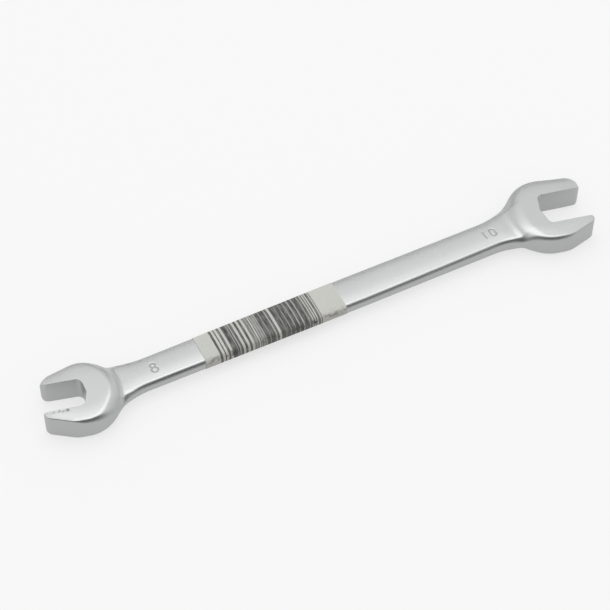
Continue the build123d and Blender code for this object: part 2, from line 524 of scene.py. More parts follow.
# An edge's roundness ends this little before upright, where it would be endlessly steep
UPRIGHT_SHARE = 0.9999
# Numerals: their heights, how far they lie in from the heads' centres, and the width of the 0, the height of
# the lower ring of the 8 and the gap after the 1 as shares of those heights
SMALL_NUMERAL_HEIGHT = 3.2
LARGE_NUMERAL_HEIGHT = 2.8
SMALL_NUMERAL_PLACE = 17.93
LARGE_NUMERAL_PLACE = 16.8
NUMERAL_WIDTH_SHARE = 0.62
NUMERAL_WAIST_SHARE = 0.54
NUMERAL_GAP_SHARE = 0.45
NUMERAL_SPACING = 0.1
# Half the width of the slope between the face and the bottom of a stamped stroke
STAMP_SLOPE = 0.08
# The stamp's steepness is taken over this distance either side of a point
STAMP_PROBE = 0.02
# Dents on the near arm of the small head, each with its place, radius and depth
DENTS = (
    (-69.85, -3.1, 0.34, 0.08),
    (-70.4, -2.9, 0.2, 0.025),
    (-70.95, -3.0, 0.3, 0.03),
    (-71.7, -2.6, 0.25, 0.04),
    (-72.15, -2.65, 0.2, 0.02),
    (-72.95, -2.3, 0.3, 0.025),
    (-73.6, -2.3, 0.2, 0.02),
)
# A dent this deep has broken through the plating, and the stamped strokes are darkened by this share,
# as dull plating with painted shade in the recess
DENT_BROKEN = 0.05
STAMP_DULL_AND_SHADE_SHARE = 0.45
# A step's profile slopes where it is more than this off both flats
LEVEL_GAP = 1e-4


def rounding(distance, radius):
    """How far a rounded edge has dropped at a distance in from it, and how steep it is there."""
    inward = np.clip(radius - distance, 0, radius * UPRIGHT_SHARE)
    level = np.sqrt(radius**2 - inward**2)
    return radius - level, inward / level


def dented(points):
    """For each dent, the points' offsets from its middle, its radius and depth, and how far they lie in it.

    The last is one in the middle of the dent and fades to nought round it.
    """
    for x, y, radius, depth in DENTS:
        offset = points - (x, y)
        yield offset, radius, depth, np.exp(-np.einsum("ij,ij->i", offset, offset) / radius**2)


class Relief:
    """Height of the steel body's faces over each point of its plan."""

    def __init__(self, steel, heads, outline, slots):
        self.steel = {name: in_mm(steel, name) for name in (
            "near_edge", "far_edge", "under_edge", "slot_edge", "crown", "crown_reach",
            "far_fall", "far_reach", "stroke", "stamp_depth", "middle_y",
        )}
        self.shank_half = in_mm(steel, "shank_thickness") / 2
        self.swell = in_mm(steel, "swell", "swell_start", "swell_end")
        self.widths = shank_widths(steel)
        self.heads, self.outline, self.slots = heads, outline, slots
        self.steps = []
        for head in heads:
            foot = head.step_radius + head.step_run
            corners = (
                (0, HEAD_HALF),
                (head.step_radius, HEAD_HALF),
                (foot, self.shank_half),
                (foot + head.foot_blend * 2, self.shank_half),
            )
            profile = rounded(corners, (head.rim_blend, head.foot_blend), PROFILE_SPACING)
            self.steps.append((head.step_centre, profile))

    def step_slopes(self):
        """The centre of each step's arc, and the distances from it at which the slope begins and ends."""
        for centre, profile in self.steps:
            height = profile[:, 1]
            sloping = profile[(height < HEAD_HALF - LEVEL_GAP) & (height > self.shank_half + LEVEL_GAP)]
            yield centre, sloping[0, 0], sloping[-1, 0]

    def thickness(self, points):
        """Half the thickness before the edges are rounded, and how it grows in X and Y.

        It is full at the heads and less along the shank, which swells towards the large head.
        """
        half, slope = np.full(len(points), -np.inf), np.zeros((len(points), 2))
        for centre, profile in self.steps:
            offset = points - centre
            reach = np.linalg.norm(offset, axis=1)
            height = np.interp(reach, *profile.T)
            fall = np.interp(reach, profile[:, 0], np.gradient(profile[:, 1], profile[:, 0]))
            higher = height > half
            half[higher] = height[higher]
            slope[higher] = ((fall / np.maximum(reach, 1e-6))[:, None] * offset)[higher]
        rise, start, end = self.swell
        part = np.clip((points[:, 0] - start) / (end - start), 0, 1)
        sunk = self.sunk(half)
        steep = SWELL_POWER * rise * part ** (SWELL_POWER - 1) / (end - start)
        slope *= 1 - rise * part[:, None] ** SWELL_POWER / (HEAD_HALF - self.shank_half)
        slope[:, 0] += np.where(part < 1, steep, 0) * sunk
        return half + rise * part**SWELL_POWER * sunk, slope

    def neck_fall(self, points):
        """How far the faces fall where the necks spread past the shank's straight sides, and how steeply.

        The steepness is along Y.
        """
        places, widths = self.widths
        aside = points[:, 1] - self.steel["middle_y"]
        beyond = np.clip(abs(aside) - np.interp(points[:, 0], places, widths) / 2, 0, None) / NECK_REACH
        part = np.exp(-(beyond**2))
        return NECK_FALL * (1 - part), NECK_FALL * 2 * beyond / NECK_REACH * part * np.sign(aside)

    def sunk(self, half):
        """Nought where the body has a head's full thickness, and one where it is as thin as the shank."""
        return np.clip((HEAD_HALF - half) / (HEAD_HALF - self.shank_half), 0, 1)

    def edge_radius(self, points, upper=True):
        """Radius of the rounded edge, which changes from side to side and out along each arm."""
        steel = self.steel
        part = np.clip((points[:, 1] - steel["middle_y"]) / SIDE_CHANGE + 0.5, 0, 1)
        radius = steel["near_edge"] + part * (steel["far_edge"] - steel["near_edge"])
        sunk = self.sunk(self.thickness(points)[0])
        if not upper:
            radius += sunk * (steel["under_edge"] - radius)
        radius *= 1 - NECK_SHARPER_SHARE * sunk * self.neck_fall(points)[0] / NECK_FALL
        for head in self.heads:
            ahead, aside = head.to_head(points).T
            part = np.clip(ahead / (head.reach * ARM_CHANGE_SHARE), 0, 1)
            arm = np.where(aside > 0, head.left_edge, head.right_edge)
            radius += part * part * (3 - 2 * part) * (arm - radius)
        return radius

    def face(self, points, upper=True):
        """Height of a face out from the middle plane, and its outward normal.

        Only the upper face is dented and stamped.
        """
        steel = self.steel
        height, slope = self.thickness(points)
        sunk = self.sunk(height)
        fall, steep = self.neck_fall(points)
        height -= sunk * fall
        slope *= 1 + fall[:, None] / (HEAD_HALF - self.shank_half)
        slope[:, 1] -= sunk * steep

        # Rounded edges, and the fall towards the far ones
        rim, along = nearest(points, self.outline)
        drop, steepness = rounding(rim, self.edge_radius(points, upper))
        part = np.clip(1 - rim / steel["far_reach"], 0, 1)
        far = steel["far_fall"] * np.clip(-along[:, 0], 0, 1) * part
        height -= drop + far * part
        steepness += 2 * far / steel["far_reach"]
        slope += steepness[:, None] * left_of(along)

        # Crown
        inward, growth = soft_distance(points, self.outline)
        part = np.clip(1 - inward / steel["crown_reach"], 0, None)
        height -= steel["crown"] * part**2
        slope += (2 * steel["crown"] / steel["crown_reach"] * part)[:, None] * growth

        for slot in self.slots:
            gap, along = nearest(points, slot, closed=False)
            drop, steepness = rounding(gap, steel["slot_edge"])
            height -= drop
            slope -= steepness[:, None] * left_of(along)
        if upper:
            for offset, radius, depth, near in dented(points):
                dent = depth * near
                height -= dent
                slope += (2 * dent / radius**2)[:, None] * offset
            height -= self.stamp(points)
            for axis in (0, 1):
                shift = np.eye(2)[axis] * STAMP_PROBE
                deeper = self.stamp(points + shift) - self.stamp(points - shift)
                slope[:, axis] -= deeper / (2 * STAMP_PROBE)
        normal = np.column_stack((-slope, np.ones(len(points))))
        return height, normal / np.linalg.norm(normal, axis=1)[:, None]

    def dull_and_shaded(self, points):
        """Where the plating is dull: down in the stamped strokes, where it also paints their shade, and in
        the dents, from nought to one.
        """
        dull = STAMP_DULL_AND_SHADE_SHARE * self.stamp(points) / self.steel["stamp_depth"]
        for _, _, depth, near in dented(points):
            dull = np.maximum(dull, near * min(1, depth / DENT_BROKEN))
        return dull

    def stamp(self, points):
        """How deep the numerals are stamped at each point."""
        return self.steel["stamp_depth"] * np.clip(0.5 - self.numerals(points) / (2 * STAMP_SLOPE), 0, 1)

    def numerals(self, points):
        """Signed distance to the stamped strokes, negative inside them."""
        stroke = self.steel["stroke"]
        best = np.full(len(points), np.inf)
        for centre, radius in self.rings():
            best = np.minimum(best, abs(np.linalg.norm(points - centre, axis=1) - radius))
        for line in self.lines():
            best = np.minimum(best, distance_to(points, line, closed=len(line) > 2))
        return best - stroke / 2

    def rings(self):
        """Middle lines of the two rings of the figure 8."""
        stroke = self.steel["stroke"]
        x = self.heads[0].centre[0] + SMALL_NUMERAL_PLACE
        y = self.steel["middle_y"]
        lower = NUMERAL_WAIST_SHARE * (SMALL_NUMERAL_HEIGHT + stroke)
        upper = SMALL_NUMERAL_HEIGHT + stroke - lower
        yield np.array((x, y + (lower - SMALL_NUMERAL_HEIGHT) / 2)), (lower - stroke) / 2
        yield np.array((x, y + (SMALL_NUMERAL_HEIGHT - upper) / 2)), (upper - stroke) / 2

    def lines(self):
        """Middle lines of the figures 1 and 0."""
        stroke = self.steel["stroke"]
        width, gap = LARGE_NUMERAL_HEIGHT * NUMERAL_WIDTH_SHARE, LARGE_NUMERAL_HEIGHT * NUMERAL_GAP_SHARE
        total = stroke + gap + width
        x = self.heads[1].centre[0] - LARGE_NUMERAL_PLACE
        y = self.steel["middle_y"]
        tall = (LARGE_NUMERAL_HEIGHT - stroke) / 2
        one = x + (stroke - total) / 2
        yield np.array(((one, y - tall), (one, y + tall)))
        bend = (width - stroke) / 2
        nought, rise = x + (total - width) / 2, tall - bend
        yield np.vstack((
            arc((nought, y + rise), bend, 0, pi, NUMERAL_SPACING),
            run((nought - bend, y + rise), (nought - bend, y - rise), NUMERAL_SPACING),
            arc((nought, y - rise), bend, pi, 2 * pi, NUMERAL_SPACING),
            run((nought + bend, y - rise), (nought + bend, y + rise), NUMERAL_SPACING),
        ))


# Mesh of the steel body

# Rings of points follow the rounded edges at these angles round their quarter circle, in degrees
RIM_ANGLES = (7, 14, 21, 28, 36, 44, 52, 60, 68, 76, 83, 90)
# Least distance from those rings to a slot's rounded edge, and from the outline to a slot's rings
RIM_GAP = 0.02
SLOT_RING_GAP = 0.03
# The slots' first ring lies this share of their rounded edge out, and their last one this far past it
SLOT_RING_SHARE = 0.3
SLOT_MARGIN = 0.25
# Points near a stamped slope's edges may lie this far into it
STAMP_SLACK = 0.005
# Between the rings of points on the steps, between points along them, how far they run on past the slope,
# how far they stay from the rounded edges, and how far the grid stays clear of the slope
STEP_RING_SPACING = 0.22
STEP_SPACING = 0.5
STEP_OVERRUN = 0.15
STEP_GAP = 0.15
STEP_CLEARANCE = 0.35
# Between the points of the grid that fills the rest, its rows closer by this share, and how far it stays
# clear of the edges and the strokes
GRID_SPACING = 0.75
GRID_ROW_SHARE = 0.866
GRID_GAP = 0.3
# Points round the dents lie at these shares of their radii, and the grid stays further out
DENT_SHARES = (0, 0.35, 0.7, 1.05, 1.5, 2.0)
DENT_CLEARANCE_SHARE = 2.2
DENT_SPACING = 0.12
DENT_SLOT_GAP = 0.05
# The walls have a row of points this far in from each face
WALL_ROW_GAP = 0.15
# Points of the outline that lie this close are one, and middles of its runs this close lie on it
MERGE_DISTANCE = 1e-5
ON_LINE = 1e-3


def clear_of_slots(points, slots, gap):
    """The points that lie outside the slots, and at least this far from them."""
    keep = np.ones(len(points), bool)
    for slot in slots:
        keep &= ~inside(points, slot) & (distance_to(points, slot, closed=False) > gap)
    return points[keep]


def edge_points(relief):
    """Rings of points that follow the rounded edges, in from the outline and out from the slots."""
    outline, slots, slot_edge = relief.outline, relief.slots, relief.steel["slot_edge"]
    inward = left_of(tangents(outline))
    # Where the two faces' edges differ the rings of one would crowd the other's, so the larger one leads
    edge = np.maximum(relief.edge_radius(outline), relief.edge_radius(outline, upper=False))
    rings = []
    for step in RIM_ANGLES:
        ring = outline + inward * (edge * (1 - cos(radians(step))))[:, None]
        rings.append(clear_of_slots(ring, slots, RIM_GAP + slot_edge))
    for slot in slots:
        outward = -left_of(tangents(slot, closed=False))
        for offset in (slot_edge * SLOT_RING_SHARE, slot_edge, slot_edge + SLOT_MARGIN):
            ring = slot + outward * offset
            ring = ring[inside(ring, outline)]
            rings.append(ring[distance_to(ring, outline) > SLOT_RING_GAP])
    return rings


def numeral_points(relief):
    """Points along both edges of the slopes into the stamped strokes, and just beyond both."""
    figures = []
    for offset in (-2 * STAMP_SLOPE, -STAMP_SLOPE, STAMP_SLOPE, 2 * STAMP_SLOPE):
        reach = relief.steel["stroke"] / 2 + offset
        for centre, radius in relief.rings():
            for edge in (radius + reach, radius - reach):
                figures.append(arc(centre, edge, 0, 2 * pi, NUMERAL_SPACING))
        for line in relief.lines():
            if len(line) == 2:
                bottom, top = line
                aside, ahead = np.array((reach, 0)), np.array((0, reach))
                for start, end in (
                    (bottom + aside, top + aside),
                    (top - aside, bottom - aside),
                    (bottom - aside - ahead, bottom + aside - ahead),
                    (top - aside + ahead, top + aside + ahead),
                ):
                    figures.append(run(start, end, NUMERAL_SPACING))
            else:
                across = -left_of(tangents(line))
                figures += [line + across * reach, line - across * reach]
    figures = np.vstack(figures)
    return figures[abs(relief.numerals(figures)) > STAMP_SLOPE - STAMP_SLACK]


def body_points(relief):
    """Points to mesh the plan through: rings along the edges and steps, and a grid between them."""
    outline, slots, slot_edge = relief.outline, relief.slots, relief.steel["slot_edge"]

    def field(points, gap):
        """Those of the points that lie on the face and at least this far from its rounded edges."""
        points = points[inside(points, outline)]
        rim = distance_to(points, outline)
        points = points[rim > relief.edge_radius(points) + gap / 2]
        return clear_of_slots(points, slots, slot_edge + SLOT_MARGIN + gap)

    steps = []
    for centre, start, end in relief.step_slopes():
        for radius in np.arange(start - STEP_OVERRUN, end + STEP_OVERRUN, STEP_RING_SPACING):
            steps.append(arc(centre, radius, 0, 2 * pi, STEP_SPACING))
    steps = field(np.vstack(steps), STEP_GAP)

    low, high = outline.min(axis=0), outline.max(axis=0)
    rows = []
    for number, y in enumerate(np.arange(low[1], high[1], GRID_SPACING * GRID_ROW_SHARE)):
        xs = np.arange(low[0] + (number % 2) * GRID_SPACING / 2, high[0], GRID_SPACING)
        rows.append(np.column_stack((xs, np.full(len(xs), y))))
    grid = field(np.vstack(rows), GRID_GAP)
    for centre, start, end in relief.step_slopes():
        reach = np.linalg.norm(grid - centre, axis=1)
        grid = grid[(reach < start - STEP_CLEARANCE) | (reach > end + STEP_CLEARANCE)]
    grid = grid[relief.numerals(grid) > GRID_GAP]

    dents = []
    for x, y, radius, _ in DENTS:
        for radius_share in DENT_SHARES:
            dents.append(arc((x, y), radius * radius_share, 0, 2 * pi, DENT_SPACING))
        grid = grid[np.linalg.norm(grid - (x, y), axis=1) > radius * DENT_CLEARANCE_SHARE]
    dents = clear_of_slots(np.vstack(dents), slots, slot_edge + DENT_SLOT_GAP)
    return np.vstack(edge_points(relief) + [steps, numeral_points(relief), grid, dents])


def plan_mesh(relief):
    """The plan of the body as points and triangles that face up, with the slots left open."""
    loops = [relief.outline, *relief.slots]
    points = np.vstack(loops + [body_points(relief)])
    edges, first = [], 0
    for loop in loops:
        count = len(loop)
        edges += [(first + n, first + n + 1) for n in range(count - 1)]
        if loop is relief.outline:
            edges.append((first + count - 1, first))
        first += count
    places = [Vector(point) for point in points]
    found, _, triangles, *_ = delaunay_2d_cdt(places, edges, [], 0, MERGE_DISTANCE, False)
    plan = np.array([tuple(point) for point in found])
    triangles = np.array(triangles)
    middles = plan[triangles].mean(axis=1)
    keep = inside(middles, relief.outline)
    for slot in relief.slots:
        keep &= ~inside(middles, slot)
    used, triangles = np.unique(triangles[keep], return_inverse=True)
    triangles = triangles.reshape(-1, 3)
    plan = plan[used]
    corners = plan[triangles]
    turned = np.cross(corners[:, 1] - corners[:, 0], corners[:, 2] - corners[:, 0]) < 0
    triangles[turned] = triangles[turned][:, ::-1]
    return plan, triangles


def wall_normals(relief, ends):
    """Outward normals at both ends of each run round the plan, by the loop on which the run lies."""
    middles = ends.mean(axis=1)
    facing = np.zeros((len(ends), 2, 3))
    for loop in (relief.outline, *relief.slots):
        closed = loop is relief.outline
        here = distance_to(middles, loop, closed) < ON_LINE
        for end in (0, 1):
            along = nearest(ends[here, end], loop, closed)[1]
            facing[here, end, :2] = left_of(along) * (-1 if closed else 1)
    return facing


def wrench_body_mesh(steel, heads):
    """Points and faces of the steel body, the normal at each face corner and how dull and shaded each point
    is.
    """
    relief = Relief(steel, heads, plan_outline(heads, steel), [head.slot() for head in heads])
    plan, triangles = plan_mesh(relief)
    (upper, upward), (lower, downward) = relief.face(plan), relief.face(plan, upper=False)
    top = np.column_stack((plan, MIDDLE_Z + upper))
    bottom = np.column_stack((plan, MIDDLE_Z - lower))
    downward = downward * (1, 1, -1)
    count = len(plan)
    under = triangles[:, ::-1]
    faces = triangles.tolist() + (under + count).tolist()
    normals = [upward[triangles].reshape(-1, 3), downward[under].reshape(-1, 3)]

    # Walls, in rows that stay close under the rounded edges
    sides = np.vstack((triangles[:, (0, 1)], triangles[:, (1, 2)], triangles[:, (2, 0)]))
    known = {(a, b) for a, b in sides.tolist()}
    rim = sorted((a, b) for a, b in known if (b, a) not in known)
    walls, rows = {}, []
    for a in sorted({a for pair in rim for a in pair}):
        high, low = top[a, 2], bottom[a, 2]
        gap = min(WALL_ROW_GAP, (high - low) / 4)
        walls[a] = [a, *(2 * count + len(rows) + n for n in range(3)), count + a]
        rows += [(*plan[a], z) for z in (high - gap, (high + low) / 2, low + gap)]
    for (a, b), (at_a, at_b) in zip(rim, wall_normals(relief, plan[np.array(rim)])):
        for row in range(4):
            faces.append((walls[b][row], walls[a][row], walls[a][row + 1], walls[b][row + 1]))
            normals.append((at_b, at_a, at_a, at_b))
    points = np.vstack((top, bottom, rows))
    dull_and_shaded = np.zeros(len(points))
    dull_and_shaded[:count] = relief.dull_and_shaded(plan)
    return points, faces, np.vstack(normals), dull_and_shaded


# Paper label
# Ways round the shank are counted from the middle of its top, and are negative towards the near side.

# The strip has this many rows of points round the shank, and its columns are this far apart along it
LABEL_ROWS = 150
COLUMN_SPACING = 0.4
# A quarter of the shank's section has this many points along its flat, and one every so many degrees round
# its edge, and its direction is taken over this distance either side of a place
SECTION_FLAT_POINTS = 14
SECTION_ANGLE = 7.5
SECTION_REACH = 0.12
# The paper stands this far off the steel and off itself, and rises over its first edge in this length
PAPER_GAP = 0.02
LAP_RAMP = 0.8
# Blots of noise, each with its length, its width and its layer of the noise: the soft waves in which the
# paper lies, and the broad and the fine ones in which it is smeared
WAVE_BLOTS = (3.1, 2.3, 4.2)
BROAD_BLOTS = (3.0, 2.5, 2.2)
FINE_BLOTS = (0.7, 0.5, 7.7)
WAVE_HEIGHT = 0.03
BAR_SEED = 2231
# Kinds of stretch: widths of the bars and gaps in units, and the least and most ink on each
STRETCHES = (
    ((1, 1, 2), (1, 2, 2), (0.85, 1.0), (0.0, 0.12)),
    ((1, 3, 4), (1, 1), (0.95, 1.0), (0.3, 0.7)),
    ((1, 2), (1, 1), (0.6, 0.85), (0.4, 0.6)),
    ((1, 2, 3), (1, 1, 2), (0.85, 1.0), (0.0, 0.25)),
)
# Smeared ink and darker specks: the way round to the middle of each, and how far they spread from it
SMEAR_MIDDLE = -4.8
SMEAR_REACH = 1.0
SPECK_MIDDLE = -4.2
SPECK_REACH = 0.9
SPECK_MOST = 0.24
# The near side is darkened as painted shade from this way round on, to this share, which it reaches over this
# ramp
NEAR_SHADE_START = -3.6
NEAR_SHADE_RAMP = 0.9
NEAR_SHADE_SHARE = 0.42
# Each crease runs from one place to another, with its height and half width
CREASES = (
    (0.3, -4.6, 1.1, -4.0, 0.08, 0.35),
    (1.3, -3.6, 2.0, -3.9, 0.06, 0.3),
    (1.9, -4.9, 2.9, -4.5, 0.05, 0.35),
    (32.4, -4.4, 33.2, -3.9, 0.06, 0.3),
    (33.7, -4.9, 34.8, -4.0, 0.08, 0.35),
    (35.4, -3.7, 36.4, -4.1, 0.06, 0.3),
    (24.2, -5.4, 25.4, -3.6, 0.07, 0.25),
    (12.6, -5.2, 13.3, -3.9, 0.06, 0.25),
)
# A crease is this share of its height at its ends
CREASE_END_SHARE = 0.35


def shank_section(steel, half_width):
    """Outline of the shank cut across, from the middle of its underside round by the near side."""
    half = in_mm(steel, "shank_thickness") / 2
    near, far, under = in_mm(steel, "near_edge", "far_edge", "under_edge")
    crown, reach, far_fall, far_reach = in_mm(steel, "crown", "crown_reach", "far_fall", "far_reach")
    quarters = []
    for edge, across, up in ((under, -1, -1), (near, -1, 1), (far, 1, 1), (under, 1, -1)):
        flat = np.linspace(half_width, edge, SECTION_FLAT_POINTS)[:-1]
        turns = np.radians(np.arange(0, 90 + SECTION_ANGLE / 2, SECTION_ANGLE))
        rim = np.concatenate((flat, edge * (1 - np.sin(turns))))
        height = half - rounding(rim, edge)[0] - crown * (1 - np.clip(rim / reach, 0, 1)) ** 2
        if across > 0:
            height -= far_fall * (1 - np.clip(rim / far_reach, 0, 1)) ** 2
        quarter = np.column_stack((half_width - rim, height)) * (across, up)
        quarters.append(quarter if across == up else quarter[::-1])
    return np.vstack((quarters[0], quarters[1], quarters[2][1:], quarters[3]))


def bar_places(label):
    """Edges of the printed bars and of the tinted gaps between them along the label, and how inked each is.

    Their widths and tints are drawn by lot and encode nothing. In some stretches the bars crowd together,
    and in others the print head has smudged them with their gaps to a mottled grey.
    """
    unit = in_mm(label, "bar_unit")
    place, end = in_mm(label, "first_bar"), in_mm(label, "length") - in_mm(label, "last_bar")
    lot, stretches = random.Random(BAR_SEED), []
    while place < end:
        kind = lot.choice(STRETCHES)
        for _ in range(lot.choice((1, 2, 3))):
            widths, gaps, inks, tints = kind
            width, gap = unit * lot.choice(widths), unit * lot.choice(gaps)
            stretches.append((place, min(place + width, end), lot.uniform(*inks)))
            if place + width < end:
                stretches.append((place + width, min(place + width + gap, end), lot.uniform(*tints)))
            place += width + gap
            if place >= end:
                break
    return stretches


def creases(x, v):
    """How far the paper stands up at its creases, at a place along it and for its ways round the shank."""
    lift = np.zeros(len(v))
    for x0, v0, x1, v1, height, width in CREASES:
        along = np.array((x1 - x0, v1 - v0))
        part = np.clip(((x - x0) * along[0] + (v - v0) * along[1]) / (along @ along), 0, 1)
        gap = (x - x0 - part * along[0]) ** 2 + (v - v0 - part * along[1]) ** 2
        swell = CREASE_END_SHARE + (1 - CREASE_END_SHARE) * np.sin(pi * part)
        lift = np.maximum(lift, height * np.exp(-gap / width**2) * swell)
    return lift


def mottle(x, v, long, wide, layer):
    """Smooth noise over the paper from about -1 to 1, in blots this long and wide."""
    return np.array([noise.noise(Vector((x / long, t / wide, layer))) for t in v])


def smeared_and_shaded(x, v, first, last):
    """How smeared, specked and shaded the paper is at one place along it, from nought to one.

    From the first bar to the last, their ink is smeared where the paper bends over the near edge. The blank
    ends have darker specks in their folds, and the whole near side is darkened as painted shade.
    """
    broad, fine = mottle(x, v, *BROAD_BLOTS), mottle(x, v, *FINE_BLOTS)
    smear = np.exp(-(((v - SMEAR_MIDDLE) / SMEAR_REACH) ** 2))
    smear = smear * np.clip(0.35 + 1.5 * broad + 0.9 * fine, 0, 1)
    printed = np.clip(x - first, 0, 1) * np.clip(last - x, 0, 1)
    specks = np.clip(1.6 * fine + 0.8 * broad, 0, SPECK_MOST)
    specks = specks * (np.exp(-(((v - SPECK_MIDDLE) / SPECK_REACH) ** 2)) * (1 - printed))
    # Painted shade on the label's near side
    painted_shade = NEAR_SHADE_SHARE * np.clip((NEAR_SHADE_START - v) / NEAR_SHADE_RAMP, 0, 1)
    return np.maximum(smear * printed, painted_shade + specks)


def way_round(loop):
    """How far it is along a section's outline to each of its points."""
    return np.concatenate(([0], np.cumsum(np.linalg.norm(np.diff(loop, axis=0), axis=1))))


def wound(loop, rows):
    """Where rows of paper lie when they are wound round a section, and which way is out from it there."""
    way = way_round(loop)
    place = np.mod(rows, way[-1])

    def at(place):
        place = np.mod(place, way[-1])
        return np.column_stack([np.interp(place, way, loop[:, axis]) for axis in (0, 1)])

    tangent = at(place + SECTION_REACH) - at(place - SECTION_REACH)
    return at(place), left_of(tangent / np.linalg.norm(tangent, axis=1)[:, None])


def label_mesh(steel, label):
    """Points and faces of one strip of paper wound round the shank and lapped underneath.

    Also how inked each face is, and how smeared, specked and shaded each point is.
    """
    start, long, thick, overlap = in_mm(label, "start", "length", "thickness", "overlap")
    middle_y = in_mm(steel, "middle_y")
    places, widths = shank_widths(steel)
    bars = bar_places(label)
    stops = sorted({0.0, long, *(edge for first, last, _ in bars for edge in (first, last))})
    spans = [run((a, 0), (b, 0), COLUMN_SPACING)[:, 0] for a, b in zip(stops, stops[1:])]
    columns = np.concatenate(spans + [[long]])
    sections = [shank_section(steel, np.interp(start + x, places, widths) / 2) for x in columns]
    girths = [way_round(loop)[-1] for loop in sections]
    girth = sum(total / len(columns) for total in girths)
    rows = np.linspace(-overlap / 2, girth + overlap / 2, LABEL_ROWS)
    v = rows - girth / 2

    outer, inner, smear_and_shade = [], [], []
    for column, loop, total in zip(columns, sections, girths):
        spot, outward = wound(loop, rows)
        lap = np.clip((rows - (total - overlap / 2 - LAP_RAMP)) / LAP_RAMP, 0, 1)
        lift = PAPER_GAP + (thick + PAPER_GAP) * lap * lap * (3 - 2 * lap)
        lift = lift + creases(column, v)
        lift += WAVE_HEIGHT * (1 + mottle(column, v, *WAVE_BLOTS)) / 2
        smear_and_shade.append(smeared_and_shaded(column, v, bars[0][0], bars[-1][1]))
        x = start + column + label.skew * v
        for rise, sheet in ((lift + thick, outer), (lift, inner)):
            flat = spot + outward * rise[:, None]
            sheet.append(np.column_stack((x, flat[:, 0] + middle_y, flat[:, 1] + MIDDLE_Z)))
    points = np.vstack(outer + inner)
    smear_and_shade = np.concatenate(smear_and_shade + [np.zeros(len(points) // 2)])

    across, down = len(columns), LABEL_ROWS
    back = across * down
    faces, inked = [], []
    for c in range(across - 1):
        middle = (columns[c] + columns[c + 1]) / 2
        ink = max(strength for first, last, strength in bars + [(0, long, 0)] if first < middle < last)
        for r in range(down - 1):
            a = c * down + r
            corners = (a, a + down, a + down + 1, a + 1)
            faces += [corners, tuple(corner + back for corner in corners[::-1])]
            inked += [ink, 0.0]
    rim = [(c * down, (c + 1) * down) for c in range(across - 1)]
    rim += [((c + 1) * down + down - 1, c * down + down - 1) for c in range(across - 1)]
    rim += [((across - 1) * down + r, (across - 1) * down + r + 1) for r in range(down - 1)]
    rim += [(r + 1, r) for r in range(down - 1)]
    faces += [(a, a + back, b + back, b) for a, b in rim]
    inked += [0.0] * len(rim)
    return points, faces, inked, smear_and_shade


# Materials

# Smears left by handling are about as wide as a finger's touch, and missed dots run out this far along bars
SMEAR_SIZE = 9.0
STREAK_LENGTH = 2.0
# Drawn coarser than they are, so that they show: the tumbled grain, really under 0.1 mm, the paper's fibres,
# really 0.02 mm thick, and the dots of the print head, really 0.125 mm apart
GRAIN_DRAWN = 0.35
FIBRE_DRAWN = 0.5
DOT_DRAWN = 0.25


def satin_chrome(steel):
    """Bright nickel and chromium plated over ground and tumbled tool steel.

    The plating gives a clear grey mirror, and the tumbling under it blurs that mirror to satin.
    The walls are tumbled only, so they reflect more softly, and their colour is made a little darker
    than the ground faces' as painted shade.
    """
    material = new_material("satin_chrome_plated_steel")
    tree = material.node_tree
    place = add_node(tree, "ShaderNodeTexCoord").outputs["Object"]
    normal = add_node(tree, "ShaderNodeNewGeometry").outputs["Normal"]
    lean = add_node(tree, "ShaderNodeSeparateXYZ", {"Vector": normal}).outputs["Z"]
    upright = add_node(tree, "ShaderNodeMath", {0: lean}, operation="ABSOLUTE").outputs[0]
    # Ground is what lies within about 11 degrees of level, and what leans over 57 degrees is tumbled only
    ground = add_node(tree, "ShaderNodeMapRange", {"Value": upright, "From Min": 0.55, "From Max": 0.98})
    # Smears left by handling change the roughness slightly
    smear = add_node(
        tree,
        "ShaderNodeTexNoise",
        {"Vector": place, "Scale": 1 / (SMEAR_SIZE * MM), "Detail": 3.0, "Roughness": 0.55},
    )
    base = add_node(
        tree,
        "ShaderNodeMapRange",
        {"Value": ground.outputs["Result"], "To Min": steel.wall_roughness, "To Max": steel.face_roughness},
    ).outputs["Result"]
    spread = add_node(
        tree, "ShaderNodeMapRange", {"Value": smear.outputs["Fac"], "To Min": -0.04, "To Max": 0.04}
    ).outputs["Result"]
    clean = add_node(tree, "ShaderNodeMath", {0: base, 1: spread}, operation="ADD").outputs[0]
    # The plating is thin and dull down in the stamped strokes and in the dents, and in the strokes the dull
    # tone also paints their shade
    dull_and_shaded = add_node(tree, "ShaderNodeAttribute", attribute_name="dull_and_shaded").outputs["Fac"]
    roughness = add_node(
        tree, "ShaderNodeMath", {0: dull_and_shaded, 1: 0.25, 2: clean}, operation="MULTIPLY_ADD"
    ).outputs[0]
    # The walls take their darker colour here, as painted shade
    plating = add_node(
        tree,
        "ShaderNodeMix",
        {"Factor": ground.outputs["Result"], "A": (*steel.shaded_wall_plating, 1.0), "B": (*steel.chromium, 1.0)},
        data_type="RGBA",
    )
    tone = add_node(
        tree,
        "ShaderNodeMix",
        {"Factor": dull_and_shaded, "A": plating.outputs["Result"], "B": (*steel.dull_and_shaded_tone, 1.0)},
        data_type="RGBA",
    )
    # Tumbled grain, drawn coarser than the real one, but as fine as still shows
    grain = add_node(
        tree, "ShaderNodeTexNoise", {"Vector": place, "Scale": 1 / (GRAIN_DRAWN * MM), "Detail": 2.0}
    )
    bump = add_node(
        tree, "ShaderNodeBump", {"Height": grain.outputs["Fac"], "Strength": 0.03, "Distance": 0.1 * MM}
    ).outputs["Normal"]
    shader = add_node(
        tree,
        "ShaderNodeBsdfPrincipled",
        {"Base Color": tone.outputs["Result"], "Metallic": 1.0, "Roughness": roughness, "Normal": bump},
    )
    add_node(tree, "ShaderNodeOutputMaterial", {"Surface": shader.outputs[0]})
    return material


